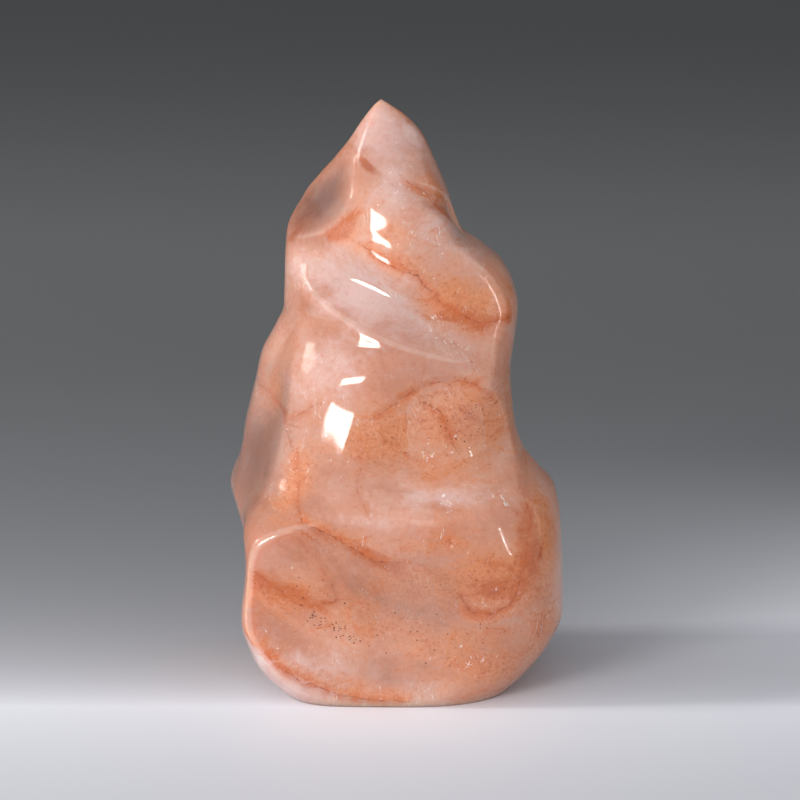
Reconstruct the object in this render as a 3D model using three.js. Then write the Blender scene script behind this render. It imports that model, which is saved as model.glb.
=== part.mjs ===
// Strawberry quartz flame: one solid stone, ground by wheel into overlapping tongues, scoops and crisp
// rims, and polished all over. Lengths are millimetres and angles are degrees. +Z is up, the front looks
// towards -Y, and an azimuth of 0 is the front, +90 the right-hand side and 180 the back.
import * as THREE from 'three';

const HEIGHT = 124.2; // of the narrow top of the block; the rounded point stands POINT_RISE above it
const POINT_RISE = 0.25;
const COLUMNS = 92; // facets round the stone
const ROWS = 52; // facets up the stone
const END_CROWDING = 0.05; // how much closer the rows lie near the foot and the point
const SNAP_HALVINGS = 12; // halvings used to find where a rim crosses an edge
const FOLLOW_ROUNDS = 3; // rounds in which the corners beside a rim follow those moved onto it
const FOLLOW_SHARE = 0.7; // how far they follow, as a share of their neighbours' average move
const SMALLEST_REACH = 0.05;
const STONE_PINK = '#d8a48f';
const STONE_ROUGHNESS = 0.08;

// The rough block: how far it reaches to each side at each height, as [height, reach] points.
const LEFT = [
  [0, -24], [3, -27.6], [8, -31], [16, -33], [29, -31.8], [41, -33.8], [52, -33.1], [64, -30.4], [70, -29],
  [76, -25.9], [80, -24.2], [91, -23.9], [97, -23.4], [104, -20.3], [108, -16.8], [115, -10.7], [121, -6.6],
  [123.4, -4.6], [124.2, -3.7],
];
const RIGHT = [
  [0, 25], [4, 29], [9.4, 33.2], [16, 35.8], [36, 35], [41, 34], [46, 30.4], [50.5, 27.2], [56, 25.4],
  [67, 24.4], [75, 25.4], [80.4, 25.8], [85.6, 24.6], [89.5, 22.4], [93.3, 17.8], [96, 14], [99, 12.6],
  [105, 10.7], [112, 7.8], [117.5, 5.1], [121.3, 1.5], [123.6, -1.9], [124.2, -2.9],
];
const FRONT = [
  [0, -27.5], [5, -30.2], [17, -32.5], [30, -32], [38, -29.5], [42, -28], [50, -26.4], [57, -25.8],
  [67, -23.2], [75, -19.2], [80, -18.4], [97, -14.8], [104, -12.6], [112, -7.5], [118, -4], [123, -1],
  [124.2, -0.2],
];
const BACK = [
  [0, 24], [6, 28], [20, 31], [40, 31], [60, 29], [80, 26.5], [95, 23], [108, 13], [118, 5], [123, 1.6],
  [124.2, 0.6],
];
// Where the block is widest, and how square its sections are: 2 is an ellipse, more is boxier.
const MIDDLE_X = [
  [0, 0], [34, 0], [50, 3], [62, 4.5], [80, 2.5], [90, 4], [98, 6.5], [108, 2.5], [118, -2], [124.2, -3.3],
];
const MIDDLE_Y = [[0, 0], [30, 0], [50, 5], [80, 5], [98, 7], [112, 2.5], [124.2, 0.2]];
const SQUARENESS_LEFT = [
  [0, 4], [10, 4.5], [22, 8], [28, 9], [34, 6.5], [40, 3.4], [46, 2.4], [60, 2], [90, 1.8], [124.2, 1.8],
];
const SQUARENESS_RIGHT = [[0, 2.7], [30, 2.6], [45, 2.4], [66, 2.4], [80, 2.7], [92, 2.3], [124.2, 2]];

// Soft bulges left standing on the block.
const SWELLS = [
  { name: 'belly', azimuth: -20, height: 57, across: 8, along: 9, roll: 0, rise: 1.8 },
  { name: 'left corner', azimuth: -95, height: 41.5, across: 12, along: 5, roll: 0, rise: 2.2 },
];

// Flat ground faces. Each looks out along its azimuth, leans back by lean, and passes out from the axis at
// its height. Its edge is worn round by leftEdge up to the azimuth changeFrom and by rightEdge past the
// azimuth changeTo. Below bowBelow the face bows outwards by bow times the square of the way down.
const FACES = [
  { name: 'foot face', azimuth: -2, lean: -1, out: 28.4, height: 20, leftEdge: 0.3, rightEdge: 2.5,
    changeFrom: 18, changeTo: 50, bowBelow: 0, bow: 0 },
  { name: 'shoulder face', azimuth: 26, lean: 13, out: 18.6, height: 83, leftEdge: 2, rightEdge: 0.25,
    changeFrom: 0, changeTo: 45, bowBelow: 72, bow: 0.05 },
];
const FACE_GLANCE = 0.15; // a face that is met more edge-on than this isn't reached

// Wheel scoops. Each is centred at its azimuth and height, and across and along are its half sizes before
// it is rolled. The rim is crisp, except towards the side fadeSide, where fade flattens it into the stone.
const SCOOPS = [
  { name: 'middle scoop', azimuth: -4, height: 56.8, across: 31.5, along: 16.5, roll: -11, depth: 6,
    fadeSide: 165, fade: 2.4, squareness: 1.9 },
  { name: 'lens scoop', azimuth: -16, height: 85, across: 28, along: 7.6, roll: -24, depth: 4.2,
    fadeSide: 66, fade: 2.6, squareness: 2.3 },
  { name: 'tip groove', azimuth: 22, height: 102, across: 12, along: 3.8, roll: -34, depth: 1.6,
    fadeSide: 236, fade: 1.5, squareness: 2 },
  { name: 'upper left scoop', azimuth: -72, height: 104.5, across: 10.5, along: 9, roll: 28, depth: 2.4,
    fadeSide: 110, fade: 1.6, squareness: 2.2 },
  { name: 'left flank', azimuth: -66, height: 55, across: 9, along: 24, roll: 6, depth: 2.4,
    fadeSide: 0, fade: 0.8, squareness: 2.2 },
  { name: 'right flank', azimuth: 128, height: 62, across: 19, along: 24, roll: -25, depth: 4.5,
    fadeSide: 0, fade: 0, squareness: 2.3 },
  { name: 'upper back', azimuth: -150, height: 88, across: 19, along: 20, roll: 28, depth: 4.5,
    fadeSide: 0, fade: 0, squareness: 2.3 },
  { name: 'left back', azimuth: -138, height: 50, across: 18, along: 21, roll: 25, depth: 4.5,
    fadeSide: 0, fade: 0, squareness: 2.3 },
  { name: 'lower back', azimuth: 170, height: 34, across: 24, along: 20, roll: -18, depth: 5,
    fadeSide: 0, fade: 0, squareness: 2.3 },
  { name: 'right shoulder back', azimuth: 156, height: 96, across: 10, along: 13, roll: -20, depth: 2.5,
    fadeSide: 0, fade: 0, squareness: 2.3 },
  { name: 'right foot', azimuth: 112, height: 24, across: 14, along: 16, roll: 10, depth: 2.5,
    fadeSide: 0, fade: 0, squareness: 2.2 },
  { name: 'left foot', azimuth: -125, height: 20, across: 17, along: 13, roll: -10, depth: 2.5,
    fadeSide: 0, fade: 0, squareness: 2.2 },
];
// How much of a scoop's depth is left as the point gets thin, as [height, share] points.
const SCOOP_SHARE = [[0, 1], [100, 1], [112, 0.8], [124.2, 0]];
const SCOOP_TRACE = 0.02; // a scoop shallower than this leaves no mark
// How far the rows of facets dip below their level, as [height, dip] points, so that they run along the
// long scoops. They fall most steeply to the right at SLANT_AZIMUTH.
const SLANT = [[0, 0], [30, 0], [57, 5], [85, 10], [98, 9], [120, 0], [124.2, 0]];
const SLANT_AZIMUTH = -16;

const radians = THREE.MathUtils.degToRad;

// A smooth curve through [height, value] points that never overshoots between them.
function curveThrough(points) {
  const last = points.length - 1;
  const spans = points.slice(1).map((point, i) => point[0] - points[i][0]);
  const slopes = points.slice(1).map((point, i) => (point[1] - points[i][1]) / spans[i]);
  const tangents = points.map((point, i) => {
    if (i === 0) return slopes[0];
    if (i === last) return slopes[last - 1];
    if (slopes[i - 1] * slopes[i] <= 0) return 0;
    const before = 2 * spans[i] + spans[i - 1];
    const after = spans[i] + 2 * spans[i - 1];
    return (before + after) / (before / slopes[i - 1] + after / slopes[i]);
  });
  return (height) => {
    let i = 0;
    while (i < last - 1 && height >= points[i + 1][0]) i += 1;
    const t = THREE.MathUtils.clamp((height - points[i][0]) / spans[i], 0, 1);
    const t2 = t * t;
    const t3 = t2 * t;
    return (2 * t3 - 3 * t2 + 1) * points[i][1]
      + (t3 - 2 * t2 + t) * spans[i] * tangents[i]
      + (3 * t2 - 2 * t3) * points[i + 1][1]
      + (t3 - t2) * spans[i] * tangents[i + 1];
  };
}

const leftAt = curveThrough(LEFT);
const rightAt = curveThrough(RIGHT);
const frontAt = curveThrough(FRONT);
const backAt = curveThrough(BACK);
const middleXAt = curveThrough(MIDDLE_X);
const middleYAt = curveThrough(MIDDLE_Y);
const squarenessLeftAt = curveThrough(SQUARENESS_LEFT);
const squarenessRightAt = curveThrough(SQUARENESS_RIGHT);
const scoopShareAt = curveThrough(SCOOP_SHARE);
const slantAt = curveThrough(SLANT);

// The rough block's radius from its middle, by azimuth and height.
function blockRadius(azimuth, height) {
  const sine = Math.sin(radians(azimuth));
  const cosine = Math.cos(radians(azimuth));
  const middleX = middleXAt(height);
  const middleY = middleYAt(height);
  const sideways = sine < 0 ? middleX - leftAt(height) : rightAt(height) - middleX;
  const forwards = cosine > 0 ? middleY - frontAt(height) : backAt(height) - middleY;
  const power = sine < 0 ? squarenessLeftAt(height) : squarenessRightAt(height);
  return ((Math.abs(sine) / Math.max(sideways, SMALLEST_REACH)) ** power
    + (Math.abs(cosine) / Math.max(forwards, SMALLEST_REACH)) ** power) ** (-1 / power);
}

// Where a point of the skin lies in the rolled frame of a swell or scoop, in shares of its half sizes.
function placeOn(mark, azimuth, height) {
  const turn = THREE.MathUtils.euclideanModulo(azimuth - mark.azimuth + 180, 360) - 180;
  const sideways = radians(turn) * blockRadius(mark.azimuth, mark.height);
  const upwards = height - mark.height;
  const cosine = Math.cos(radians(mark.roll));
  const sine = Math.sin(radians(mark.roll));
  return {
    across: (cosine * sideways + sine * upwards) / mark.across,
    along: (cosine * upwards - sine * sideways) / mark.along,
  };
}

function swellRise(swell, azimuth, height) {
  const place = placeOn(swell, azimuth, height);
  return swell.rise * Math.exp(-(place.across ** 2) - place.along ** 2);
}

function scoopDepth(scoop, azimuth, height) {
  const { across, along } = placeOn(scoop, azimuth, height);
  const power = scoop.squareness;
  const outwards = (Math.abs(across) ** power + Math.abs(along) ** power) ** (1 / power);
  const direction = Math.atan2(along, across) + radians(scoop.roll - scoop.fadeSide);
  const fading = 1 + scoop.fade * ((1 + Math.cos(direction)) / 2) ** 2;
  return scoop.depth * Math.max(1 - outwards ** 2, 0) ** fading;
}

// The radius at which a flat ground face is met, or Infinity where it isn't.
function faceRadius(face, azimuth, height) {
  const level = Math.cos(radians(face.lean));
  const normalX = Math.sin(radians(face.azimuth)) * level;
  const normalY = -Math.cos(radians(face.azimuth)) * level;
  const normalZ = Math.sin(radians(face.lean));
  const facing = normalX * Math.sin(radians(azimuth)) - normalY * Math.cos(radians(azimuth));
  if (facing <= FACE_GLANCE) return Infinity;
  const bowed = face.bow * Math.max(face.bowBelow - height, 0) ** 2;
  const distance = face.out * level + face.height * normalZ + bowed;
  return (distance - normalX * middleXAt(height) - normalY * middleYAt(height) - normalZ * height) / facing;
}

function wearOf(face, azimuth) {
  const share = THREE.MathUtils.smoothstep(azimuth, face.changeFrom, face.changeTo);
  return THREE.MathUtils.lerp(face.leftEdge, face.rightEdge, share);
}

// The finished skin: its radius from the middle, and which face or scoop shapes it there.
function skinAt(azimuth, height) {
  let radius = blockRadius(azimuth, height);
  let shapedBy = 'block';
  SWELLS.forEach((swell) => {
    radius += swellRise(swell, azimuth, height);
  });
  FACES.forEach((face) => {
    const faced = faceRadius(face, azimuth, height);
    if (faced === Infinity) return;
    if (faced < radius) shapedBy = face.name;
    const wear = wearOf(face, azimuth);
    radius = Math.min(radius, faced) - wear * Math.log1p(Math.exp(-Math.abs(radius - faced) / wear));
  });
  let depth = SCOOP_TRACE;
  SCOOPS.forEach((scoop) => {
    const scooped = scoopDepth(scoop, azimuth, height);
    if (scooped <= depth) return;
    depth = scooped;
    shapedBy = scoop.name;
  });
  if (depth > SCOOP_TRACE) radius -= depth * scoopShareAt(height);
  return { radius: Math.max(radius, SMALLEST_REACH), shapedBy };
}

// The corners of the facets, one row above another, as azimuths and heights.
function regularCorners() {
  const corners = [];
  for (let row = 0; row < ROWS; row += 1) {
    const share = row / ROWS;
    const level = HEIGHT * (share - END_CROWDING * Math.sin(2 * Math.PI * share));
    for (let column = 0; column < COLUMNS; column += 1) {
      const azimuth = (360 * column) / COLUMNS - 180;
      const height = level - slantAt(level) * Math.sin(radians(azimuth - SLANT_AZIMUTH));
      corners.push({ azimuth, height, moved: 1 });
    }
  }
  return corners;
}

// Where a rim crosses the edge from one corner to another, as a share of the edge.
function crossing(from, to) {
  const start = skinAt(from.azimuth, from.height).shapedBy;
  let low = 0;
  let high = 1;
  for (let step = 0; step < SNAP_HALVINGS; step += 1) {
    const share = (low + high) / 2;
    const azimuth = THREE.MathUtils.lerp(from.azimuth, to.azimuth, share);
    const height = THREE.MathUtils.lerp(from.height, to.height, share);
    if (skinAt(azimuth, height).shapedBy === start) low = share;
    else high = share;
  }
  return (low + high) / 2;
}

// Moves the corner nearest to each rim onto it, so that the facets' edges follow the rims.
function cornersOnRims() {
  const regular = regularCorners();
  const corners = regular.map((corner) => ({ ...corner }));
  const shapedBy = regular.map((corner) => skinAt(corner.azimuth, corner.height).shapedBy);
  const snapAlong = (index, other, turn) => {
    if (shapedBy[index] === shapedBy[other]) return;
    const from = regular[index];
    const to = { azimuth: regular[other].azimuth + turn, height: regular[other].height };
    const share = crossing(from, to);
    const nearFrom = share <= 0.5;
    const moved = nearFrom ? share : 1 - share;
    const target = corners[nearFrom ? index : other];
    if (moved >= target.moved) return;
    target.azimuth = THREE.MathUtils.lerp(from.azimuth, to.azimuth, share) - (nearFrom ? 0 : turn);
    target.height = THREE.MathUtils.lerp(from.height, to.height, share);
    target.moved = moved;
  };
  for (let row = 1; row < ROWS; row += 1) {
    for (let column = 0; column < COLUMNS; column += 1) {
      const index = row * COLUMNS + column;
      const wraps = column === COLUMNS - 1;
      snapAlong(index, wraps ? row * COLUMNS : index + 1, wraps ? 360 : 0);
      if (row < ROWS - 1) snapAlong(index, index + COLUMNS, 0);
    }
  }
  return corners;
}

// Lets the corners beside the moved ones follow them, so that the facets keep an even size.
function evenCorners(corners) {
  const regular = regularCorners();
  let moves = corners.map((corner, i) => ({
    azimuth: corner.azimuth - regular[i].azimuth,
    height: corner.height - regular[i].height,
  }));
  for (let round = 0; round < FOLLOW_ROUNDS; round += 1) {
    moves = moves.map((move, index) => {
      const row = Math.floor(index / COLUMNS);
      const column = index % COLUMNS;
      if (corners[index].moved < 1 || row === 0 || row === ROWS - 1) return move;
      const beside = [
        moves[row * COLUMNS + (column + 1) % COLUMNS],
        moves[row * COLUMNS + (column + COLUMNS - 1) % COLUMNS],
        moves[index + COLUMNS],
        moves[index - COLUMNS],
      ];
      const share = FOLLOW_SHARE / beside.length;
      return {
        azimuth: share * beside.reduce((sum, other) => sum + other.azimuth, 0),
        height: share * beside.reduce((sum, other) => sum + other.height, 0),
      };
    });
  }
  return corners.map((corner, i) => ({
    ...corner,
    azimuth: regular[i].azimuth + moves[i].azimuth,
    height: regular[i].height + moves[i].height,
  }));
}

function pointAt(azimuth, height, radius) {
  return new THREE.Vector3(
    middleXAt(height) + radius * Math.sin(radians(azimuth)),
    middleYAt(height) - radius * Math.cos(radians(azimuth)),
    height,
  );
}

// Whether a facet of four corners folds along its rising diagonal: the one that follows a rim, or else
// the one nearer to the skin.
function foldsUpwards(corners) {
  const [lowLeft, lowRight, highRight, highLeft] = corners;
  const risesAlongRim = lowLeft.moved < 1 && highRight.moved < 1;
  const fallsAlongRim = lowRight.moved < 1 && highLeft.moved < 1;
  if (risesAlongRim !== fallsAlongRim) return risesAlongRim;
  const turns = corners.map((corner) => {
    const turn = corner.azimuth - lowLeft.azimuth;
    return lowLeft.azimuth + THREE.MathUtils.euclideanModulo(turn + 180, 360) - 180;
  });
  const azimuth = turns.reduce((sum, turn) => sum + turn, 0) / corners.length;
  const height = corners.reduce((sum, corner) => sum + corner.height, 0) / corners.length;
  const skin = pointAt(azimuth, height, skinAt(azimuth, height).radius);
  const middle = new THREE.Vector3();
  const rising = middle.addVectors(lowLeft.point, highRight.point).multiplyScalar(0.5).distanceTo(skin);
  const falling = middle.addVectors(lowRight.point, highLeft.point).multiplyScalar(0.5).distanceTo(skin);
  return rising <= falling;
}

function stoneGeometry() {
  const corners = evenCorners(cornersOnRims());
  corners.forEach((corner) => {
    corner.point = pointAt(corner.azimuth, corner.height, skinAt(corner.azimuth, corner.height).radius);
  });
  const restCentre = corners.length;
  const tip = restCentre + 1;
  const points = corners.map((corner) => corner.point);
  points.push(pointAt(0, 0, 0));
  points.push(pointAt(0, HEIGHT, 0).setZ(HEIGHT + POINT_RISE));

  const triangles = [];
  for (let row = 0; row < ROWS - 1; row += 1) {
    for (let column = 0; column < COLUMNS; column += 1) {
      const next = (column + 1) % COLUMNS;
      const lowLeft = row * COLUMNS + column;
      const lowRight = row * COLUMNS + next;
      const highRight = lowRight + COLUMNS;
      const highLeft = lowLeft + COLUMNS;
      const around = [corners[lowLeft], corners[lowRight], corners[highRight], corners[highLeft]];
      if (foldsUpwards(around)) {
        triangles.push(lowLeft, lowRight, highRight, lowLeft, highRight, highLeft);
      } else {
        triangles.push(lowLeft, lowRight, highLeft, lowRight, highRight, highLeft);
      }
    }
  }
  const topRow = (ROWS - 1) * COLUMNS;
  for (let column = 0; column < COLUMNS; column += 1) {
    const next = (column + 1) % COLUMNS;
    triangles.push(restCentre, next, column);
    triangles.push(topRow + column, topRow + next, tip);
  }

  const geometry = new THREE.BufferGeometry().setFromPoints(points);
  geometry.setIndex(triangles);
  geometry.computeBoundingBox();
  const centre = geometry.boundingBox.getCenter(new THREE.Vector3());
  geometry.translate(-centre.x, -centre.y, -geometry.boundingBox.min.z);
  geometry.computeVertexNormals();
  return geometry;
}

const quartzFlame = new THREE.Mesh(
  stoneGeometry(),
  new THREE.MeshStandardMaterial({ color: STONE_PINK, roughness: STONE_ROUGHNESS, metalness: 0 }),
);
quartzFlame.name = 'quartz_flame';

const group = new THREE.Group();
group.add(quartzFlame);

export default group;
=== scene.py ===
"""Strawberry quartz flame: one solid polished stone of milky pink quartz with orange and red veils inside.

The fine surface repeats the named shapes of the faceted solid. Shape values are in millimetres and degrees:
+Z is up, the front looks towards -Y, and an azimuth of 0 is the front, +90 the right side and 180 the back.
Everything in Blender is in metres.
"""
import math

import bpy
import numpy as np
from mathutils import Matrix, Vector


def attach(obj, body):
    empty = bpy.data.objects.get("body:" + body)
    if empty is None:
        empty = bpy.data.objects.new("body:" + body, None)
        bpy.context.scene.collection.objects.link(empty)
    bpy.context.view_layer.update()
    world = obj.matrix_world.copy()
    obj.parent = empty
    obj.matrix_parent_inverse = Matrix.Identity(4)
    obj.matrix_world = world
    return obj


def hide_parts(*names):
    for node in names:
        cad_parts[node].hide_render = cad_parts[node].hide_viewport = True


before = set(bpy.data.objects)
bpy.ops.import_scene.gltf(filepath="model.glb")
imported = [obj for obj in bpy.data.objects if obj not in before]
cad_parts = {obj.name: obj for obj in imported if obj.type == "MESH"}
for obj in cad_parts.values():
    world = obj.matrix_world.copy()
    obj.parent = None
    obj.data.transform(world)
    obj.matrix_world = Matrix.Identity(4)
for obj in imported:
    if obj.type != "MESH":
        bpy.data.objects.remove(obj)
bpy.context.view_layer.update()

MM = 0.001

# The fine surface: its height, how many corners it has around and up, and how crisp its rims are
HEIGHT = 124.2
POINT_RISE = 0.25
COLUMNS = 430
ROWS = 224
END_CROWDING = 0.05
RIM_SOFTNESS = 0.16
SMALLEST_REACH = 0.05

# The rough block as (height, value) points: how far it reaches to each side, where its middle lies,
# and how square it is on the left and on the right (2 is an ellipse)
LEFT = [
    (0, -24), (3, -27.6), (8, -31), (16, -33), (29, -31.8), (41, -33.8), (52, -33.1), (64, -30.4),
    (70, -29), (76, -25.9), (80, -24.2), (91, -23.9), (97, -23.4), (104, -20.3), (108, -16.8),
    (115, -10.7), (121, -6.6), (123.4, -4.6), (124.2, -3.7),
]
RIGHT = [
    (0, 25), (4, 29), (9.4, 33.2), (16, 35.8), (36, 35), (41, 34), (46, 30.4), (50.5, 27.2), (56, 25.4),
    (67, 24.4), (75, 25.4), (80.4, 25.8), (85.6, 24.6), (89.5, 22.4), (93.3, 17.8), (96, 14), (99, 12.6),
    (105, 10.7), (112, 7.8), (117.5, 5.1), (121.3, 1.5), (123.6, -1.9), (124.2, -2.9),
]
FRONT = [
    (0, -27.5), (5, -30.2), (17, -32.5), (30, -32), (38, -29.5), (42, -28), (50, -26.4), (57, -25.8),
    (67, -23.2), (75, -19.2), (80, -18.4), (97, -14.8), (104, -12.6), (112, -7.5), (118, -4), (123, -1),
    (124.2, -0.2),
]
BACK = [
    (0, 24), (6, 28), (20, 31), (40, 31), (60, 29), (80, 26.5), (95, 23), (108, 13), (118, 5), (123, 1.6),
    (124.2, 0.6),
]
MIDDLE_X = [
    (0, 0), (34, 0), (50, 3), (62, 4.5), (80, 2.5), (90, 4), (98, 6.5), (108, 2.5), (118, -2), (124.2, -3.3),
]
MIDDLE_Y = [(0, 0), (30, 0), (50, 5), (80, 5), (98, 7), (112, 2.5), (124.2, 0.2)]
SQUARENESS_LEFT = [
    (0, 4), (10, 4.5), (22, 8), (28, 9), (34, 6.5), (40, 3.4), (46, 2.4), (60, 2), (90, 1.8), (124.2, 1.8),
]
SQUARENESS_RIGHT = [(0, 2.7), (30, 2.6), (45, 2.4), (66, 2.4), (80, 2.7), (92, 2.3), (124.2, 2)]
# The share of their depth that scoops keep, which ends at the point
SCOOP_SHARE = [(0, 1), (100, 1), (112, 0.8), (124.2, 0)]
# How far the rows of the surface dip below their level, so that they run along the long scoops
SLANT = [(0, 0), (30, 0), (57, 5), (85, 10), (98, 9), (120, 0), (124.2, 0)]
SLANT_AZIMUTH = -16

# Swells, flat ground faces and scoops. Across and along are half sizes, roll turns them on the skin.
# A face lies out millimetres from the stone's middle line at its height. A scoop's floor rises gently
# towards its fade side, given as a direction on the skin.
SWELLS = {
    "belly": dict(azimuth=-20, height=57, across=8, along=9, roll=0, rise=1.8),
    "left corner": dict(azimuth=-95, height=41.5, across=12, along=5, roll=0, rise=2.2),
}
FACES = {
    "foot face": dict(azimuth=-2, lean=-1, out=28.4, height=20, left_edge=0.3, right_edge=2.5,
                      change_from=18, change_to=50, bow_below=0, bow=0),
    "shoulder face": dict(azimuth=26, lean=13, out=18.6, height=83, left_edge=2, right_edge=0.25,
                          change_from=0, change_to=45, bow_below=72, bow=0.05),
}
# A face is left out where the skin turns away from it, by this cosine
FACE_GLANCE = 0.15
FAR = 1000.0
SCOOPS = {
    "middle scoop": dict(azimuth=-4, height=56.8, across=31.5, along=16.5, roll=-11, depth=6,
                         fade_side=165, fade=2.4, squareness=1.9),
    "lens scoop": dict(azimuth=-16, height=85, across=28, along=7.6, roll=-24, depth=4.2,
                       fade_side=66, fade=2.6, squareness=2.3),
    "tip groove": dict(azimuth=22, height=102, across=12, along=3.8, roll=-34, depth=1.6,
                       fade_side=236, fade=1.5, squareness=2.0),
    "upper left scoop": dict(azimuth=-72, height=104.5, across=10.5, along=9, roll=28, depth=2.4,
                             fade_side=110, fade=1.6, squareness=2.2),
    "left flank": dict(azimuth=-66, height=55, across=9, along=24, roll=6, depth=2.4,
                       fade_side=0, fade=0.8, squareness=2.2),
    "right flank": dict(azimuth=128, height=62, across=19, along=24, roll=-25, depth=4.5,
                        fade_side=0, fade=0, squareness=2.3),
    "upper back": dict(azimuth=-150, height=88, across=19, along=20, roll=28, depth=4.5,
                       fade_side=0, fade=0, squareness=2.3),
    "left back": dict(azimuth=-138, height=50, across=18, along=21, roll=25, depth=4.5,
                      fade_side=0, fade=0, squareness=2.3),
    "lower back": dict(azimuth=170, height=34, across=24, along=20, roll=-18, depth=5,
                       fade_side=0, fade=0, squareness=2.3),
    "right shoulder back": dict(azimuth=156, height=96, across=10, along=13, roll=-20, depth=2.5,
                                fade_side=0, fade=0, squareness=2.3),
    "right foot": dict(azimuth=112, height=24, across=14, along=16, roll=10, depth=2.5,
                       fade_side=0, fade=0, squareness=2.2),
    "left foot": dict(azimuth=-125, height=20, across=17, along=13, roll=-10, depth=2.5,
                      fade_side=0, fade=0, squareness=2.2),
}


def curve_at(points, height):
    """A smooth curve through (height, value) points that never overshoots between them."""
    knots, values = np.array(points, float).T
    spans = np.diff(knots)
    slopes = np.diff(values) / spans
    tangents = np.zeros(len(knots))
    for i in range(1, len(knots) - 1):
        if slopes[i - 1] * slopes[i] > 0:
            before = 2 * spans[i] + spans[i - 1]
            after = spans[i] + 2 * spans[i - 1]
            tangents[i] = (before + after) / (before / slopes[i - 1] + after / slopes[i])
    tangents[0], tangents[-1] = slopes[0], slopes[-1]
    i = np.clip(np.searchsorted(knots, height, side="right") - 1, 0, len(spans) - 1)
    t = np.clip((height - knots[i]) / spans[i], 0, 1)
    return ((2 * t**3 - 3 * t**2 + 1) * values[i] + (t**3 - 2 * t**2 + t) * spans[i] * tangents[i]
            + (3 * t**2 - 2 * t**3) * values[i + 1] + (t**3 - t**2) * spans[i] * tangents[i + 1])


def block_radius(azimuth, height):
    """The rough block's radius from its middle."""
    sine, cosine = np.sin(np.radians(azimuth)), np.cos(np.radians(azimuth))
    middle_x, middle_y = curve_at(MIDDLE_X, height), curve_at(MIDDLE_Y, height)
    sideways = np.where(sine < 0, middle_x - curve_at(LEFT, height), curve_at(RIGHT, height) - middle_x)
    forwards = np.where(cosine > 0, middle_y - curve_at(FRONT, height), curve_at(BACK, height) - middle_y)
    power = np.where(sine < 0, curve_at(SQUARENESS_LEFT, height), curve_at(SQUARENESS_RIGHT, height))
    return ((np.abs(sine) / np.maximum(sideways, SMALLEST_REACH)) ** power
            + (np.abs(cosine) / np.maximum(forwards, SMALLEST_REACH)) ** power) ** (-1 / power)


def place_on(mark, azimuth, height):
    """Where the skin lies in the rolled frame of a swell or scoop, in shares of its half sizes."""
    centre_azimuth, centre_height = np.array(float(mark["azimuth"])), np.array(float(mark["height"]))
    turn = (azimuth - mark["azimuth"] + 180) % 360 - 180
    sideways = np.radians(turn) * block_radius(centre_azimuth, centre_height)
    upwards = height - mark["height"]
    cosine, sine = math.cos(math.radians(mark["roll"])), math.sin(math.radians(mark["roll"]))
    return ((cosine * sideways + sine * upwards) / mark["across"],
            (cosine * upwards - sine * sideways) / mark["along"])


def swell_rise(swell, azimuth, height):
    """How far a swell stands out, fading smoothly around its middle."""
    across, along = place_on(swell, azimuth, height)
    return swell["rise"] * np.exp(-across**2 - along**2)


def scoop_depth(scoop, azimuth, height):
    """The scoop's depth, negative outside its rim."""
    across, along = place_on(scoop, azimuth, height)
    power = scoop["squareness"]
    inside = 1 - (np.abs(across) ** power + np.abs(along) ** power) ** (2 / power)
    direction = np.arctan2(along, across) + math.radians(scoop["roll"] - scoop["fade_side"])
    fading = 1 + scoop["fade"] * ((1 + np.cos(direction)) / 2) ** 2
    return scoop["depth"] * np.sign(inside) * np.abs(inside) ** fading


def face_radius(face, azimuth, height):
    """The radius at which a flat ground face is met, FAR where it isn't."""
    level = math.cos(math.radians(face["lean"]))
    normal_x = math.sin(math.radians(face["azimuth"])) * level
    normal_y = -math.cos(math.radians(face["azimuth"])) * level
    normal_z = math.sin(math.radians(face["lean"]))
    facing = normal_x * np.sin(np.radians(azimuth)) - normal_y * np.cos(np.radians(azimuth))
    bowed = face["bow"] * np.maximum(face["bow_below"] - height, 0) ** 2
    distance = face["out"] * level + face["height"] * normal_z + bowed
    middle = normal_x * curve_at(MIDDLE_X, height) + normal_y * curve_at(MIDDLE_Y, height)
    radius = (distance - middle - normal_z * height) / np.maximum(facing, FACE_GLANCE)
    return np.where(facing > FACE_GLANCE, radius, FAR)


def skin_radius(azimuth, height):
    """The finished skin's radius from the middle."""
    radius = block_radius(azimuth, height)
    for swell in SWELLS.values():
        radius = radius + swell_rise(swell, azimuth, height)
    for face in FACES.values():
        faced = face_radius(face, azimuth, height)
        change = face["change_to"] - face["change_from"]
        share = np.clip((azimuth - face["change_from"]) / change, 0, 1)
        wear = face["left_edge"] + (face["right_edge"] - face["left_edge"]) * share**2 * (3 - 2 * share)
        radius = np.minimum(radius, faced) - wear * np.log1p(np.exp(-np.abs(radius - faced) / wear))
    hollowed = np.zeros_like(radius)
    for scoop in SCOOPS.values():
        hollowed = np.logaddexp(hollowed, scoop_depth(scoop, azimuth, height) / RIM_SOFTNESS)
    return np.maximum(radius - RIM_SOFTNESS * hollowed * curve_at(SCOOP_SHARE, height), SMALLEST_REACH)


def skin_points(azimuth, height):
    """The points of the skin, in millimetres, from azimuths and heights."""
    radius = skin_radius(azimuth, height)
    return np.stack([curve_at(MIDDLE_X, height) + radius * np.sin(np.radians(azimuth)),
                     curve_at(MIDDLE_Y, height) - radius * np.cos(np.radians(azimuth)),
                     height], axis=-1)


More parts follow.
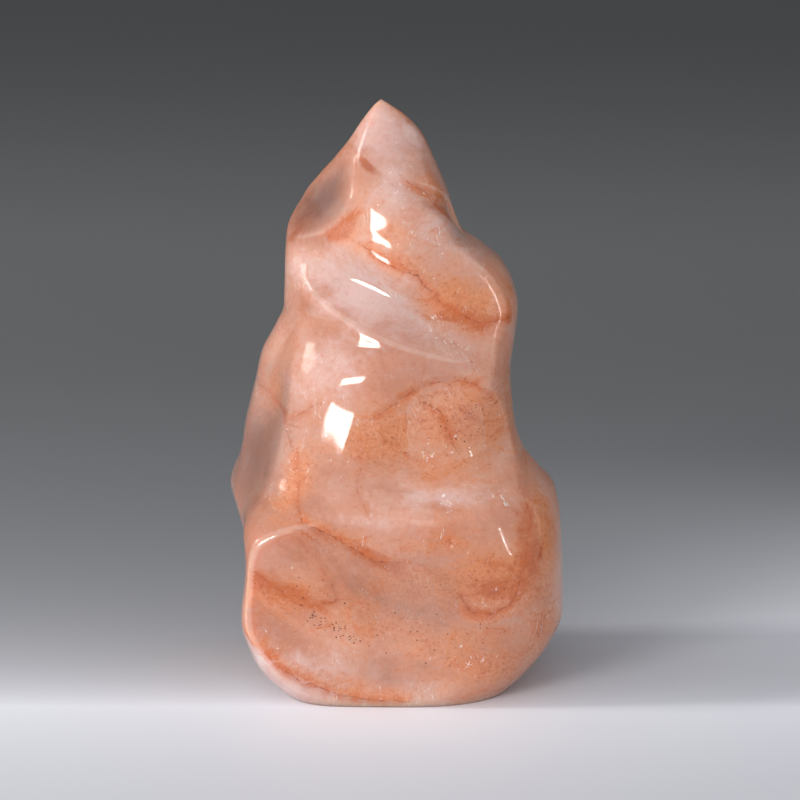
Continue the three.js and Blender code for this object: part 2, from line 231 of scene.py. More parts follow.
# Colour inside the stone, placed on the skin by azimuth and height like the scoops.
# Each patch fades smoothly over its half sizes, across and along, and amount is its strength: above 1 it
# stays in full for longer before it fades. Where patches of one kind meet, the stronger one counts.
PATCHES = {
    "orange": [
        dict(azimuth=22, height=59, across=17, along=9, roll=-6, amount=1.0),
        dict(azimuth=-14, height=56, across=13, along=8, roll=8, amount=0.8),
        dict(azimuth=10, height=51, across=22, along=6, roll=-4, amount=0.6),
        dict(azimuth=-32, height=54, across=9, along=9, roll=0, amount=0.5),
        dict(azimuth=8, height=26, across=13, along=6, roll=-8, amount=0.9),
        dict(azimuth=36, height=9, across=14, along=8, roll=0, amount=0.7),
        dict(azimuth=-5, height=91, across=14, along=2.8, roll=-20, amount=0.65),
        dict(azimuth=34, height=83, across=14, along=5.5, roll=-15, amount=1.0),
        dict(azimuth=22, height=95, across=14, along=6, roll=-35, amount=0.45),
        dict(azimuth=-48, height=98.5, across=7, along=3.5, roll=20, amount=0.7),
        dict(azimuth=-20, height=97, across=7, along=4, roll=-20, amount=0.5),
        dict(azimuth=22, height=105, across=4, along=9, roll=0, amount=0.6),
        dict(azimuth=-38, height=24, across=11, along=5, roll=-12, amount=0.75),
        dict(azimuth=-5, height=19, across=26, along=8, roll=-12, amount=0.6),
        dict(azimuth=20, height=13, across=22, along=8, roll=0, amount=0.65),
        dict(azimuth=36, height=27, across=15, along=7, roll=0, amount=1.0),
        dict(azimuth=55, height=32, across=9, along=13, roll=5, amount=0.9),
        dict(azimuth=58, height=14, across=10, along=9, roll=0, amount=0.8),
        dict(azimuth=-15, height=35, across=16, along=3.5, roll=-14, amount=0.5),
        dict(azimuth=15, height=35, across=18, along=4, roll=0, amount=0.55),
        dict(azimuth=-42, height=47, across=5, along=8, roll=0, amount=0.85),
        dict(azimuth=-72, height=62, across=6, along=6, roll=10, amount=0.6),
        dict(azimuth=-20, height=5, across=16, along=3, roll=-10, amount=0.5),
        dict(azimuth=60, height=60, across=7, along=14, roll=0, amount=0.6),
        dict(azimuth=62, height=82, across=6, along=9, roll=0, amount=0.5),
        dict(azimuth=150, height=70, across=22, along=16, roll=20, amount=0.8),
        dict(azimuth=-150, height=28, across=24, along=12, roll=-15, amount=0.8),
        dict(azimuth=110, height=30, across=16, along=16, roll=0, amount=0.7),
        dict(azimuth=180, height=14, across=24, along=7, roll=0, amount=0.8),
        dict(azimuth=-125, height=76, across=14, along=9, roll=-20, amount=0.9),
        dict(azimuth=-165, height=46, across=18, along=6, roll=15, amount=0.8),
        dict(azimuth=175, height=94, across=12, along=5, roll=-20, amount=0.8),
        dict(azimuth=95, height=72, across=8, along=10, roll=0, amount=0.7),
    ],
    "red": [
        dict(azimuth=26, height=61, across=9, along=6, roll=-20, amount=0.35),
        dict(azimuth=-50, height=98, across=4, along=1.8, roll=30, amount=1.5),
        dict(azimuth=-43, height=111.8, across=3.4, along=0.8, roll=-35, amount=1.0),
        dict(azimuth=24, height=101, across=5, along=1.5, roll=-35, amount=0.7),
        dict(azimuth=36, height=79.5, across=10, along=2, roll=-8, amount=0.7),
        dict(azimuth=50, height=34, across=3.5, along=10, roll=8, amount=1.2),
        dict(azimuth=40, height=26, across=9, along=3, roll=0, amount=1.1),
        dict(azimuth=-10, height=32.6, across=8, along=1.6, roll=-24, amount=1.3),
        dict(azimuth=-38, height=24.5, across=7, along=2, roll=-20, amount=1.1),
        dict(azimuth=-78, height=98, across=5, along=4, roll=20, amount=0.7),
        dict(azimuth=160, height=62, across=14, along=4, roll=20, amount=0.9),
        dict(azimuth=-125, height=78, across=9, along=3, roll=-20, amount=0.8),
        dict(azimuth=-150, height=26, across=14, along=4, roll=-15, amount=0.6),
    ],
    "pale": [
        dict(azimuth=-10, height=118, across=8, along=7, roll=0, amount=1.0),
        dict(azimuth=50, height=117, across=3.4, along=3, roll=-30, amount=1.3),
        dict(azimuth=-30, height=84, across=22, along=6, roll=-22, amount=0.9),
        dict(azimuth=-15, height=108, across=5, along=8, roll=0, amount=0.6),
        dict(azimuth=-38, height=70, across=11, along=8, roll=0, amount=0.7),
        dict(azimuth=15, height=44.5, across=14, along=3, roll=0, amount=0.7),
        dict(azimuth=-70, height=90, across=9, along=4, roll=20, amount=0.5),
        dict(azimuth=-56, height=6, across=18, along=7, roll=0, amount=1.6),
        dict(azimuth=-20, height=40.5, across=14, along=2, roll=-6, amount=0.5),
        dict(azimuth=-12, height=28, across=9, along=4, roll=-25, amount=0.4),
        # Painted light: brightens the shoulder, which faces away from the lights.
        dict(azimuth=18, height=98, across=12, along=5, roll=-30, amount=0.75),
        dict(azimuth=170, height=100, across=10, along=12, roll=0, amount=0.7),
        dict(azimuth=-110, height=60, across=10, along=20, roll=0, amount=0.5),
        dict(azimuth=100, height=90, across=8, along=10, roll=0, amount=0.5),
    ],
    "clear": [
        dict(azimuth=-72, height=50, across=15, along=19, roll=5, amount=1.35),
        dict(azimuth=-38, height=52, across=14, along=12, roll=0, amount=0.4),
        dict(azimuth=-50, height=74, across=18, along=10, roll=0, amount=0.3),
        dict(azimuth=8, height=24, across=15, along=8, roll=0, amount=0.75),
        dict(azimuth=42, height=14, across=20, along=11, roll=0, amount=0.45),
        dict(azimuth=0, height=8, across=16, along=5, roll=0, amount=0.3),
        dict(azimuth=-72, height=103, across=10, along=8, roll=20, amount=1.4),
        dict(azimuth=-50, height=4, across=20, along=5, roll=0, amount=0.5),
        dict(azimuth=-10, height=114, across=10, along=10, roll=0, amount=0.55),
        dict(azimuth=-24, height=79, across=24, along=10, roll=-22, amount=0.4),
        dict(azimuth=160, height=30, across=18, along=12, roll=0, amount=0.4),
    ],
    "specks": [
        dict(azimuth=-27, height=18, across=6, along=1.3, roll=-25, amount=1.0),
        dict(azimuth=-20, height=15.4, across=4, along=1.2, roll=-22, amount=0.9),
        dict(azimuth=12, height=17, across=14, along=7, roll=0, amount=0.06),
        dict(azimuth=24, height=61, across=9, along=6, roll=0, amount=0.2),
        dict(azimuth=-38, height=26, across=8, along=3, roll=0, amount=0.12),
    ],
    "flecks": [
        dict(azimuth=-67, height=86, across=2.5, along=1.2, roll=20, amount=1.0),
        dict(azimuth=-12, height=85, across=1.6, along=1.4, roll=0, amount=0.9),
        dict(azimuth=17, height=79, across=3.2, along=3.2, roll=40, amount=0.9),
        dict(azimuth=8, height=52, across=1.8, along=3.4, roll=20, amount=1.0),
        dict(azimuth=17, height=43.5, across=3.2, along=2.4, roll=-30, amount=0.8),
        dict(azimuth=39, height=43, across=3, along=2, roll=-20, amount=0.8),
        dict(azimuth=26, height=74, across=8, along=3, roll=-30, amount=0.6),
        dict(azimuth=34, height=22.5, across=3.5, along=1.5, roll=0, amount=0.6),
        dict(azimuth=28, height=9.5, across=3, along=2, roll=30, amount=0.9),
        dict(azimuth=-10, height=104, across=9, along=12, roll=0, amount=0.42),
        dict(azimuth=10, height=97, across=16, along=5, roll=-25, amount=0.42),
        dict(azimuth=-50, height=58, across=16, along=18, roll=0, amount=0.38),
        dict(azimuth=10, height=24, across=36, along=22, roll=0, amount=0.2),
        dict(azimuth=180, height=60, across=60, along=50, roll=0, amount=0.2),
    ],
}
# Healed cracks: a thin dark line where each reaches the skin, and a haze of colour that fades to one side
# of it (1 is to the left of the direction of travel, -1 to the right) over reach millimetres.
# The points are (azimuth, height).
VEINS = {
    "lens brown": dict(
        points=[(-28, 94), (-19, 92.1), (-9, 90.6), (1, 89.3), (10, 86.3), (17, 83.8), (26, 81.6),
                (37, 79.5), (47, 79), (58, 79.5)],
        line=0.9, haze=0.85, side=1, reach=5.5),
    "orange top": dict(
        points=[(-18, 60.8), (-8, 64.1), (1, 66.4), (9, 67.6), (22, 67.9), (29, 66.6), (37, 63.6)],
        line=0.65, haze=0.7, side=-1, reach=9),
    "brown crack": dict(
        points=[(3, 63.2), (10, 61.6), (13, 58.8), (16, 55.6), (19, 53.9)],
        line=0.8, haze=0.3, side=1, reach=4),
    "pink window": dict(
        points=[(-19, 51.5), (-7, 50.5), (9, 48), (20, 46.5)],
        line=0.15, haze=0.5, side=1, reach=4),
    "upright": dict(
        points=[(-23, 56.1), (-20, 49.9), (-19, 46), (-14, 42.2)],
        line=0.35, haze=0.35, side=1, reach=3),
    "left orange": dict(
        points=[(-44, 51.2), (-41, 47.2), (-39, 43.6), (-36, 40.9)],
        line=0.6, haze=0.5, side=1, reach=4),
    "left streak": dict(
        points=[(-79, 63.7), (-69, 61.4), (-57, 59.5), (-50, 54.9)],
        line=0.7, haze=0.4, side=-1, reach=4),
    "left line": dict(
        points=[(-53, 58.8), (-48, 60.9), (-42, 62.7)],
        line=0.5, haze=0.4, side=1, reach=2),
    "foot streak": dict(
        points=[(-34, 39.7), (-29, 38.2), (-22, 35.9), (-15, 33.4), (-9, 31.4), (-4, 31.7)],
        line=1.0, haze=1.0, side=1, reach=4.5),
    "triangle low": dict(
        points=[(-46, 28.3), (-43, 26.4), (-39, 23.6), (-35, 22.1), (-30, 21.9), (-24, 23.3)],
        line=0.7, haze=0.6, side=1, reach=4),
    "triangle side": dict(
        points=[(-35, 36), (-31, 31.8), (-26, 27.1), (-24, 23.7)],
        line=0.3, haze=0.3, side=-1, reach=4),
    "foot band": dict(
        points=[(-4, 31.7), (10, 30.8), (17, 28.3), (25, 27.6), (35, 26.9), (45, 26.9)],
        line=0.3, haze=0.55, side=1, reach=5),
    "right arc": dict(
        points=[(50, 41.4), (51, 38.5), (49, 33.8), (46, 30), (45, 26.9), (43, 23.9), (40, 21.9),
                (35, 20.5), (28, 20.8), (25, 24)],
        line=1.0, haze=1.0, side=1, reach=5),
    "low arc": dict(
        points=[(-62, 18.2), (-52, 15.9), (-46, 12.2), (-42, 8.4), (-36, 5.9), (-30, 4.2), (-23, 2.9),
                (-12, 1.8), (1, 1.5)],
        line=0.8, haze=0.85, side=1, reach=7),
    "tip groove": dict(
        points=[(-2, 108.6), (4, 107.1), (11, 105.1), (15, 101.9), (33, 98.1)],
        line=0.7, haze=0.6, side=-1, reach=3),
    "red fan": dict(
        points=[(-55, 96.5), (-51, 98.7), (-45, 101.1)],
        line=1.0, haze=0.8, side=-1, reach=3),
    "back sweep": dict(
        points=[(120, 80), (140, 74), (165, 60), (185, 54), (205, 50)],
        line=0.8, haze=0.7, side=1, reach=9),
    "back low": dict(
        points=[(110, 40), (135, 32), (160, 30), (190, 22), (215, 20)],
        line=0.7, haze=0.6, side=-1, reach=8),
    "back high": dict(
        points=[(150, 108), (175, 98), (200, 92), (225, 90)],
        line=0.6, haze=0.6, side=1, reach=6),
}
# In millimetres: the distance kept where no crack is near, and how far a crack's line is kept in full
FARTHEST = 12.0
LINE_REACH = 1.8
HAZE_FADING = 1.5


def patch_amount(patches, azimuth, height):
    """How strongly the patches of one kind colour the skin."""
    amount = np.zeros_like(azimuth)
    for patch in patches:
        across, along = place_on(patch, azimuth, height)
        amount = np.maximum(amount, patch["amount"] * np.exp(-across**2 - along**2))
    return amount


def beside_vein(vein, points, azimuth, height):
    """The distance of each point to a crack, and the side of it on which the point lies."""
    knots = np.array(vein["points"], float)
    corners = skin_points(knots[:, 0], knots[:, 1])
    nearest = np.full(len(points), np.inf)
    side = np.ones(len(points))
    for i in range(len(knots) - 1):
        along = corners[i + 1] - corners[i]
        share = np.clip((points - corners[i]) @ along / (along @ along), 0, 1)
        apart = np.linalg.norm(points - corners[i] - share[:, None] * along, axis=1)
        turn = (azimuth - knots[i, 0] + 180) % 360 - 180
        leftwards = ((knots[i + 1, 0] - knots[i, 0]) * (height - knots[i, 1])
                     - (knots[i + 1, 1] - knots[i, 1]) * turn)
        closer = apart < nearest
        nearest = np.where(closer, apart, nearest)
        side = np.where(closer, np.where(leftwards >= 0, 1, -1), side)
    return nearest, side


def vein_fields(points, azimuth, height):
    """Signed distance to the nearest crack, the strength of its line, and the haze beside the cracks."""
    distance = np.full(len(points), FARTHEST)
    strength = np.zeros(len(points))
    haze = np.zeros(len(points))
    for vein in VEINS.values():
        nearest, side = beside_vein(vein, points, azimuth, height)
        nearer = nearest < np.abs(distance)
        distance = np.where(nearer, nearest * side, distance)
        strength = np.where(nearer, vein["line"], strength)
        fading = np.clip(1 - nearest / vein["reach"], 0, 1) ** HAZE_FADING
        haze = np.maximum(haze, vein["haze"] * np.where(side == vein["side"], fading, 0))
    # The line ends before the distance changes sign between two cracks
    return distance, strength * np.clip(2 - np.abs(distance) / LINE_REACH, 0, 1), haze


def rim_field(points):
    """How sharply the skin turns outwards at each corner of the grid, for the highlight painted on the rims.
    """
    grid = points[:ROWS * COLUMNS].reshape(ROWS, COLUMNS, 3)
    around = np.roll(grid, 1, axis=1) + np.roll(grid, -1, axis=1) - 2 * grid
    up = np.zeros_like(grid)
    up[1:-1] = grid[2:] + grid[:-2] - 2 * grid[1:-1]
    east = np.roll(grid, -1, axis=1) - np.roll(grid, 1, axis=1)
    north = np.gradient(grid, axis=0)
    normal = np.cross(east, north)
    normal /= np.maximum(np.linalg.norm(normal, axis=2, keepdims=True), 1e-9)
    sharpness = np.maximum(-((around + up) * normal).sum(axis=2), 0)
    softened = (2 * sharpness + np.roll(sharpness, 1, axis=1) + np.roll(sharpness, -1, axis=1)) / 4
    middle_and_tip = [0, 0]
    return np.append(softened.ravel(), middle_and_tip)


def store(mesh, name, values):
    """Keeps one number for each corner of the mesh."""
    attribute = mesh.attributes.new(name, "FLOAT", "POINT")
    attribute.data.foreach_set("value", values.astype(np.float32))


def colour_fields(mesh, points, azimuth, height):
    """Keeps every colour field of the stone on its mesh, for the material."""
    for kind, patches in PATCHES.items():
        store(mesh, kind, patch_amount(patches, azimuth, height))
    store(mesh, "rim", rim_field(points))
    distance, strength, haze = vein_fields(points, azimuth, height)
    store(mesh, "vein", distance)
    store(mesh, "vein_line", strength)
    store(mesh, "haze", haze)


def grid_faces():
    """The faces between the rows of corners, and the two fans that close the foot and the tip."""
    here = np.arange(COLUMNS)
    following = (here + 1) % COLUMNS
    faces = []
    for row in range(ROWS - 1):
        low, high = row * COLUMNS, (row + 1) * COLUMNS
        faces += np.stack([low + here, low + following, high + following, high + here], axis=1).tolist()
    rest_index, tip_index = ROWS * COLUMNS, ROWS * COLUMNS + 1
    top = (ROWS - 1) * COLUMNS
    faces += [[rest_index, int(b), int(a)] for a, b in zip(here, following)]
    faces += [[top + int(a), top + int(b), tip_index] for a, b in zip(here, following)]
    return faces


def make_stone():
    """The whole stone as one closed, fine mesh, centred where the solid is."""
    share = np.arange(ROWS) / ROWS
    heights = HEIGHT * (share - END_CROWDING * np.sin(2 * np.pi * share))
    azimuths = np.arange(COLUMNS) * 360 / COLUMNS - 180
    grid_azimuth, levels = np.meshgrid(azimuths, heights)
    grid_height = levels - curve_at(SLANT, levels) * np.sin(np.radians(grid_azimuth - SLANT_AZIMUTH))
    points = skin_points(grid_azimuth, grid_height).reshape(-1, 3)
    rest = [curve_at(MIDDLE_X, np.array(0.0)), curve_at(MIDDLE_Y, np.array(0.0)), 0]
    tip = [curve_at(MIDDLE_X, np.array(HEIGHT)), curve_at(MIDDLE_Y, np.array(HEIGHT)), HEIGHT + POINT_RISE]
    points = np.vstack([points, rest, tip])
    azimuth = np.append(grid_azimuth.ravel(), [0, 0])
    height = np.append(grid_height.ravel(), [0, HEIGHT])

    centre = (points.min(axis=0) + points.max(axis=0)) / 2
    centre[2] = 0
    mesh = bpy.data.meshes.new("stone")
    mesh.from_pydata(((points - centre) * MM).tolist(), [], grid_faces())
    mesh.validate()
    mesh.shade_smooth()
    colour_fields(mesh, points, azimuth, height)
    stone = bpy.data.objects.new("stone", mesh)
    bpy.context.scene.collection.objects.link(stone)
    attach(stone, "root")
    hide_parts("quartz_flame")
    return stone, Vector(centre * MM)


# Colours in the stone
MILKY_PINK = (0.80, 0.46, 0.34, 1)
PALE_PINK = (0.72, 0.52, 0.49, 1)
DEEP_PINK = (0.72, 0.33, 0.21, 1)
ORANGE = (0.76, 0.30, 0.12, 1)
BURNT_ORANGE = (0.62, 0.17, 0.05, 1)
RUST = (0.42, 0.08, 0.025, 1)
BROWN = (0.16, 0.04, 0.015, 1)
CLEAR_TINT = (0.44, 0.25, 0.21, 1)
WHITE = (0.95, 0.88, 0.84, 1)

# In metres under the skin: where the fine clouds and veils lie, and where the large clouds and planes lie
SHALLOW = 0.003
DEEP = 0.010

# Noise scales, per metre
CLOUD_SCALE = 38
FINE_CLOUD_SCALE = 170
GRAIN_SCALE = 1500
STREAK_SCALE = 150
PLANE_SCALE = 75
MOTTLE_SCALE = 800
WANDER_SCALE = 240
BROKEN_LINE_SCALE = 420
HAIR_SCALE = 190
CHIP_SCALE = 1000
SPECK_SCALE = 2200
SHAKE_SCALE = 1400

# How far the specks are shaken out of round, in metres
SHAKE = 0.0006

# How patches fray: the noise's middle and how strongly it cuts into them
FRAY_MIDDLE = 0.8
FRAYING = 1.3

# In millimetres: how far a crack's line wanders, and half widths of its stain and its line
WANDER = 1.2
STAIN_HALF_WIDTH = 1.8
LINE_HALF_WIDTH = 0.3

# Polish, refraction, and how far light spreads under the skin (SPREAD in metres, by a share for each colour)
SMOOTHEST = 0.05
ROUGHEST = 0.14
REFRACTION = 1.54
MOST_SEEN_THROUGH = 0.9
SPREAD_BY_COLOUR = (1.0, 0.5, 0.35)
SPREAD = 0.006


class Tree:
    """Short words for making shader nodes."""

    def __init__(self, material):
        material.use_nodes = True
        self.tree = material.node_tree
        self.shader = self.tree.nodes["Principled BSDF"]

    def node(self, kind, inputs=None, **settings):
        """A node with its inputs fed and its settings made."""
        made = self.tree.nodes.new(kind)
        for key, value in settings.items():
            setattr(made, key, value)
        for key, value in (inputs or {}).items():
            self.feed(made.inputs[key], value)
        return made

    def feed(self, socket, value):
        """Links a socket to another, or gives it a constant."""
        if isinstance(value, bpy.types.NodeSocket):
            self.tree.links.new(value, socket)
        else:
            socket.default_value = value

    def math(self, operation, *values):
        return self.node("ShaderNodeMath", dict(enumerate(values)), operation=operation).outputs[0]

    def field(self, name):
        """A number kept on the mesh."""
        return self.node("ShaderNodeAttribute", attribute_name=name).outputs["Fac"]

    def noise(self, place, scale, detail, roughness, distortion=0.0):
        made = self.node("ShaderNodeTexNoise", {"Vector": place, "Scale": scale, "Detail": detail,
                                                "Roughness": roughness, "Distortion": distortion})
        return made.outputs["Fac"]

    def cells(self, place, scale):
        return self.node("ShaderNodeTexVoronoi", {"Vector": place, "Scale": scale})

    def ramp(self, value, low, high, start=0.0, end=1.0):
        """Goes smoothly from start to end while the value goes from low to high."""
        spans = {"Value": value, "From Min": low, "From Max": high, "To Min": start, "To Max": end}
        return self.node("ShaderNodeMapRange", spans, interpolation_type="SMOOTHSTEP").outputs["Result"]

    def times(self, first, second):
        return self.math("MULTIPLY", first, second)

    def add(self, first, second):
        return self.math("ADD", first, second)

    def mix(self, amount, first, second):
        """The first colour with an amount of the second laid over it."""
        made = self.node("ShaderNodeMix", data_type="RGBA", clamp_factor=True)
        self.feed(made.inputs["Factor"], amount)
        self.feed(made.inputs[6], first)
        self.feed(made.inputs[7], second)
        return made.outputs[2]

    def patch(self, name, ragged):
        """A patch field cut to a ragged edge by noise, from 0 to 1."""
        field = self.field(name)
        shaken = self.math("MULTIPLY_ADD", self.math("SUBTRACT", ragged, FRAY_MIDDLE), FRAYING, field)
        return self.times(self.ramp(shaken, 0.15, 0.85), self.ramp(field, 0.02, 0.3))

    def moved(self, place, direction, amount):
        """A place moved along a direction by an amount."""
        step = self.node("ShaderNodeVectorMath", {0: direction}, operation="SCALE")
        step.inputs["Scale"].default_value = amount
        both = {0: place, 1: step.outputs["Vector"]}
        return self.node("ShaderNodeVectorMath", both, operation="ADD").outputs["Vector"]

    def shaken(self, place):
        """A place shaken by noise, so that cells on it are no longer round."""
        shake = self.node("ShaderNodeTexNoise", {"Vector": place, "Scale": SHAKE_SCALE}).outputs["Color"]
        return self.moved(place, shake, SHAKE)

    def first_channel(self, colour):
        return self.node("ShaderNodeSeparateColor", {"Color": colour}).outputs["Red"]

    def stretch(self, place, scale, turn):
        """A place scaled along its axes and turned, so that a noise on it is drawn out."""
        made = self.node("ShaderNodeMapping", {"Vector": place, "Scale": scale, "Rotation": turn})
        return made.outputs["Vector"]


class StoneTree(Tree):
    """The stone's nodes, with the places and noises that its layers share.

    The places lie under the skin, so that what is seen breaks at every rim as refraction does.
    """

    def __init__(self, material):
        super().__init__(material)
        coordinates = self.node("ShaderNodeTexCoord")
        self.skin = coordinates.outputs["Object"]
        facing = coordinates.outputs["Normal"]
        self.shallow = self.moved(self.skin, facing, -SHALLOW)
        self.deep = self.moved(self.skin, facing, -DEEP)
        self.clouds = self.noise(self.deep, CLOUD_SCALE, 6, 0.6, 0.7)
        self.fine_clouds = self.noise(self.shallow, FINE_CLOUD_SCALE, 6, 0.65, 0.5)
        self.grain = self.noise(self.shallow, GRAIN_SCALE, 2, 0.6)
        drawn_out = self.stretch(self.shallow, (1.0, 1.0, 1.7), (0.5, 0.6, 0.2))
        self.streaks = self.noise(drawn_out, STREAK_SCALE, 8, 0.7, 0.9)
        self.ragged = self.add(self.times(self.fine_clouds, 0.9), self.times(self.clouds, 0.7))
        self.frayed = self.add(self.times(self.streaks, 1.1), self.times(self.clouds, 0.5))


def milky_base(t):
    """Milky clouds, from deep pink to dense and pale."""
    colour = t.mix(t.ramp(t.clouds, 0.34, 0.66), DEEP_PINK, MILKY_PINK)
    return t.mix(t.ramp(t.fine_clouds, 0.48, 0.8, 0.0, 0.35), colour, PALE_PINK)


def pale_patches(t, colour, pale):
    """Pale patches, nearly white where they are strongest; the one on the shoulder is painted light."""
    colour = t.mix(t.times(pale, 0.85), colour, PALE_PINK)
    whitest = t.times(t.ramp(t.ragged, 0.7, 0.95), t.ramp(t.field("pale"), 0.7, 1.2, 0.0, 0.5))
    return t.mix(whitest, colour, WHITE)


def veils(t, colour, veil):
    """Veils of orange, burnt orange and rust, with frayed edges and a fine grain."""
    tint = t.ramp(t.math("MAXIMUM", t.field("orange"), t.field("haze")), 0.1, 0.9)
    colour = t.mix(t.times(tint, 0.5), colour, ORANGE)
    colour = t.mix(t.times(veil, 0.75), colour, ORANGE)
    dense = t.times(veil, t.ramp(t.streaks, 0.46, 0.66))
    colour = t.mix(t.times(dense, 0.6), colour, BURNT_ORANGE)
    red = t.patch("red", t.frayed)
    colour = t.mix(t.times(red, 0.8), colour, BURNT_ORANGE)
    colour = t.mix(t.times(red, t.ramp(t.streaks, 0.46, 0.66, 0.0, 0.5)), colour, RUST)
    dusty = t.times(t.ramp(t.grain, 0.52, 0.68), veil)
    return t.mix(t.times(dusty, 0.5), colour, RUST)


def planes_and_mottling(t, colour):
    """Straight healed planes deep inside, each a little lighter or darker, and a finely mottled skin."""
    slabs = t.stretch(t.deep, (1.0, 1.0, 0.55), (0.5, 0.35, 0.7))
    plane = t.first_channel(t.cells(slabs, PLANE_SCALE).outputs["Color"])
    colour = t.mix(t.ramp(plane, 0.5, 0.95, 0.0, 0.14), colour, PALE_PINK)
    colour = t.mix(t.ramp(plane, 0.5, 0.05, 0.0, 0.1), colour, BURNT_ORANGE)
    mottle = t.noise(t.skin, MOTTLE_SCALE, 5, 0.8)
    colour = t.mix(t.ramp(mottle, 0.52, 0.7, 0.0, 0.16), colour, WHITE)
    return t.mix(t.ramp(mottle, 0.48, 0.3, 0.0, 0.4), colour, BURNT_ORANGE)


def cracks(t, colour):
    """Thin cracks: a wandering grainy line along each vein, in a wider stain."""
    wander = t.math("MULTIPLY_ADD", t.noise(t.shallow, WANDER_SCALE, 6, 0.75), 2 * WANDER, -WANDER)
    across = t.math("ABSOLUTE", t.add(t.field("vein"), wander))
    stain = t.times(t.ramp(across, STAIN_HALF_WIDTH, 0.1), t.field("vein_line"))
    colour = t.mix(t.times(stain, t.ramp(t.streaks, 0.36, 0.6, 0.15, 1.0)), colour, BURNT_ORANGE)
    line = t.times(t.ramp(across, LINE_HALF_WIDTH, 0.03), t.field("vein_line"))
    line = t.times(line, t.ramp(t.noise(t.shallow, BROKEN_LINE_SCALE, 4, 0.6), 0.40, 0.56, 0.1, 0.9))
    line = t.times(line, t.ramp(t.grain, 0.35, 0.55, 0.3, 1.0))
    return t.mix(line, colour, RUST)


def fractures_and_flecks(t, colour):
    """Hair-fine fractures and white flecks of crystal."""
    hairs = t.noise(t.stretch(t.shallow, (1.7, 1.7, 0.45), (0.2, 0.1, 0.5)), HAIR_SCALE, 3, 0.5, 0.6)
    hair = t.ramp(t.math("ABSOLUTE", t.math("SUBTRACT", hairs, 0.5)), 0.007, 0.0)
    hair = t.times(hair, t.ramp(t.clouds, 0.5, 0.62))
    colour = t.mix(t.times(hair, 0.45), colour, WHITE)
    chips = t.noise(t.stretch(t.shallow, (1.2, 1.2, 0.5), (0.4, 0.6, 0.9)), CHIP_SCALE, 4, 0.7, 0.8)
    fleck = t.ramp(t.add(chips, t.times(t.field("flecks"), 0.16)), 0.68, 0.72)
    return t.mix(t.times(fleck, 0.8), colour, WHITE)


def dark_specks(t, colour):
    """Dark mineral specks, more of them where the specks field is strong."""
    grains = t.cells(t.shaken(t.skin), SPECK_SCALE)
    near = t.ramp(grains.outputs["Distance"], 0.5, 0.25)
    chance = t.times(t.field("specks"), 0.5)
    dark = t.math("GREATER_THAN", chance, t.first_channel(grains.outputs["Color"]))
    return t.mix(t.times(near, dark), colour, BROWN)


def painted_rim_highlights(t, colour):
    """Painted highlight: white laid over the rims, where light would catch on them."""
    return t.mix(t.ramp(t.field("rim"), 0.09, 0.2, 0.0, 0.18), colour, WHITE)


def seen_through(t, dense):
    """How far the quartz is see-through: most in the clear parts, least in veils and pale patches."""
    clear = t.add(t.times(t.field("clear"), 0.3), t.ramp(t.clouds, 0.52, 0.3, 0.0, 0.15))
    left_clear = t.math("SUBTRACT", 1.0, t.times(dense, 0.7))
    return t.math("MINIMUM", t.times(t.add(clear, 0.15), left_clear), MOST_SEEN_THROUGH)


def stone_material():
    """Polished, milky, partly see-through quartz."""
    material = bpy.data.materials.new("stone")
    t = StoneTree(material)
    pale = t.patch("pale", t.ragged)
    veil = t.math("MAXIMUM", t.patch("orange", t.frayed), t.patch("haze", t.frayed))
    colour = pale_patches(t, milky_base(t), pale)
    colour = planes_and_mottling(t, veils(t, colour, veil))
    colour = fractures_and_flecks(t, cracks(t, colour))
    # The rims get a painted highlight of white.
    colour = painted_rim_highlights(t, dark_specks(t, colour))
    colour = t.mix(t.times(t.field("clear"), 0.55), colour, CLEAR_TINT)

    t.feed(t.shader.inputs["Base Color"], colour)
    t.feed(t.shader.inputs["Transmission Weight"], seen_through(t, t.math("MAXIMUM", veil, pale)))
    t.feed(t.shader.inputs["Roughness"], t.ramp(t.fine_clouds, 0.3, 0.8, SMOOTHEST, ROUGHEST))
    t.shader.inputs["IOR"].default_value = REFRACTION
    t.shader.inputs["Subsurface Weight"].default_value = 1.0
    t.shader.inputs["Subsurface Radius"].default_value = SPREAD_BY_COLOUR
    t.shader.inputs["Subsurface Scale"].default_value = SPREAD
    return material


# The camera: millimetres and degrees
CAMERA_LENS = 150.0
SENSOR_WIDTH = 36.0
CAMERA_DISTANCE = 712.2
CAMERA_ELEVATION = 11.0
CAMERA_TARGET = (0.64, 0.0, 60.1)
# In metres
NEAREST_SEEN = 0.05
FARTHEST_SEEN = 20


def make_camera(shift):
    """The photograph's view: a long lens a little above the stone, in front of it."""
    camera = bpy.data.objects.new("camera", bpy.data.cameras.new("camera"))
    bpy.context.scene.collection.objects.link(camera)
    bpy.context.scene.camera = camera
    camera.data.lens = CAMERA_LENS
    camera.data.sensor_width = SENSOR_WIDTH
    elevation = math.radians(CAMERA_ELEVATION)
    back = Vector((0, -math.cos(elevation), math.sin(elevation)))
    camera.location = Vector(CAMERA_TARGET) * MM - shift + back * CAMERA_DISTANCE * MM
    camera.rotation_euler = (-back).to_track_quat("-Z", "Y").to_euler()
    camera.data.clip_start = NEAREST_SEEN
    camera.data.clip_end = FARTHEST_SEEN


WARM_WHITE = (1.0, 0.98, 0.95)
ROOM_WHITE = (0.95, 0.97, 1.0, 1)
ROOM_STRENGTH = 0.7
# The height in millimetres at which every light aims
LIGHT_AIM = 60.0


